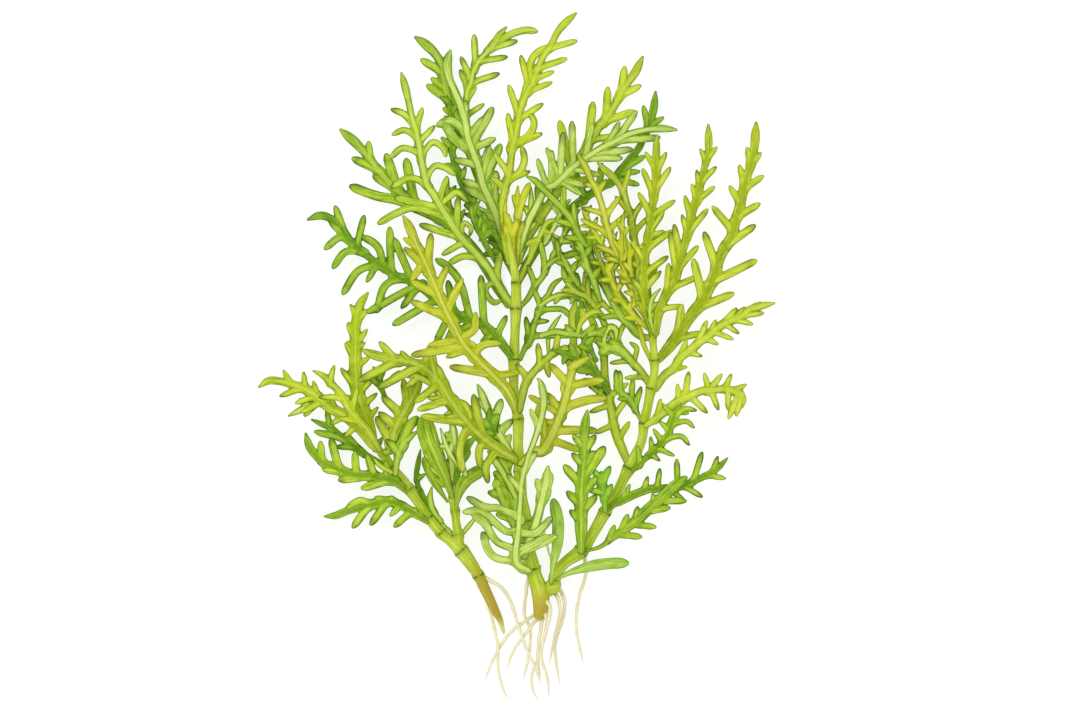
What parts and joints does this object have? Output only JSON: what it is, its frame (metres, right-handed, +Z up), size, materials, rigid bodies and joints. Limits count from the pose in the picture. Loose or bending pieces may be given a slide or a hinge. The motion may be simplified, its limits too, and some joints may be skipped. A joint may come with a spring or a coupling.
{
  "type": "water wisteria plant",
  "caption": "Bunch of leafy aquatic plant shoots with deeply lobed leaves, jointed stems and thin pale roots, picked and lying flat.",
  "frame": {"origin": "centre of the bounding box, on the surface that the plant lies on", "axes": "+Y along the shoots from the roots to the leaf tips, +X to the right seen from above, +Z up from the surface"},
  "size_m": [0.2076, 0.2766, 0.0333],
  "materials": {
    "leaf_fresh": "satin, yellow-green living leaf with a pale midrib",
    "leaf_pale": "satin, pale blue-green young leaf",
    "leaf_mid": "satin, mid green living leaf",
    "leaf_dark": "satin, dark green older leaf",
    "leaf_yellow": "satin, yellow leaf with an ochre midrib",
    "stem_olive": "smooth, slightly waxy stem with darker rings at its nodes",
    "root_cream": "matte, cream root"
  },
  "bodies": {
    "root": {"centre_leaf_arch_right": "stem_olive", "centre_leaf_back_tall": "leaf_mid", "centre_leaf_dark_high": "leaf_dark", "centre_leaf_dark_left": "leaf_dark", "centre_leaf_forked": "leaf_fresh", "centre_leaf_front": "leaf_pale", "centre_leaf_left_behind": "leaf_fresh", "centre_leaf_left_tall": "leaf_fresh", "centre_leaf_low_left": "leaf_mid", "centre_leaf_pale_tall": "leaf_pale", "centre_leaf_right_arch": "leaf_mid", "centre_leaf_right_pale": "leaf_pale", "centre_leaf_right_short": "leaf_mid", "centre_leaf_twisted": "leaf_yellow", "centre_leaf_yellow_high": "leaf_yellow", "centre_leaf_yellow_left": "leaf_yellow", "centre_leaf_yellow_right": "leaf_yellow", "centre_stem": "stem_olive", "left_leaf_dark": "leaf_dark", "left_leaf_inner": "leaf_fresh", "left_leaf_low": "leaf_mid", "left_leaf_lowest": "leaf_fresh", "left_leaf_middle": "leaf_fresh", "left_leaf_upright": "leaf_mid", "left_leaf_yellow": "leaf_yellow", "left_stem": "stem_olive", "right_leaf_blade_level": "leaf_pale", "right_leaf_blade_upright": "leaf_mid", "right_leaf_curled": "leaf_dark", "right_leaf_dark": "leaf_dark", "right_leaf_drooping": "leaf_yellow", "right_leaf_inner_high": "leaf_fresh", "right_leaf_inner_long": "leaf_mid", "right_leaf_inner_low": "leaf_yellow", "right_leaf_level": "stem_olive", "right_leaf_low": "leaf_mid", "right_leaf_low_toothed": "leaf_fresh", "right_leaf_orange": "leaf_yellow", "right_leaf_outer": "leaf_fresh", "right_leaf_toothed": "leaf_fresh", "right_leaf_upper": "leaf_fresh", "right_leaf_upright": "leaf_fresh", "right_stem": "stem_olive", "root_behind": "root_cream", "root_foot_left_far": "root_cream", "root_foot_left_near": "root_cream", "root_foot_middle": "root_cream", "root_foot_outer": "root_cream", "root_foot_right": "root_cream", "root_left_inner": "root_cream", "root_left_of_foot": "root_cream", "root_left_outer": "root_cream", "root_right_long": "root_cream", "root_right_node": "root_cream", "root_right_short": "root_cream", "side_leaf_blade": "leaf_mid", "side_leaf_broad": "leaf_mid", "side_leaf_right": "leaf_pale", "side_stem": "leaf_fresh"}
  },
  "joints": []
}
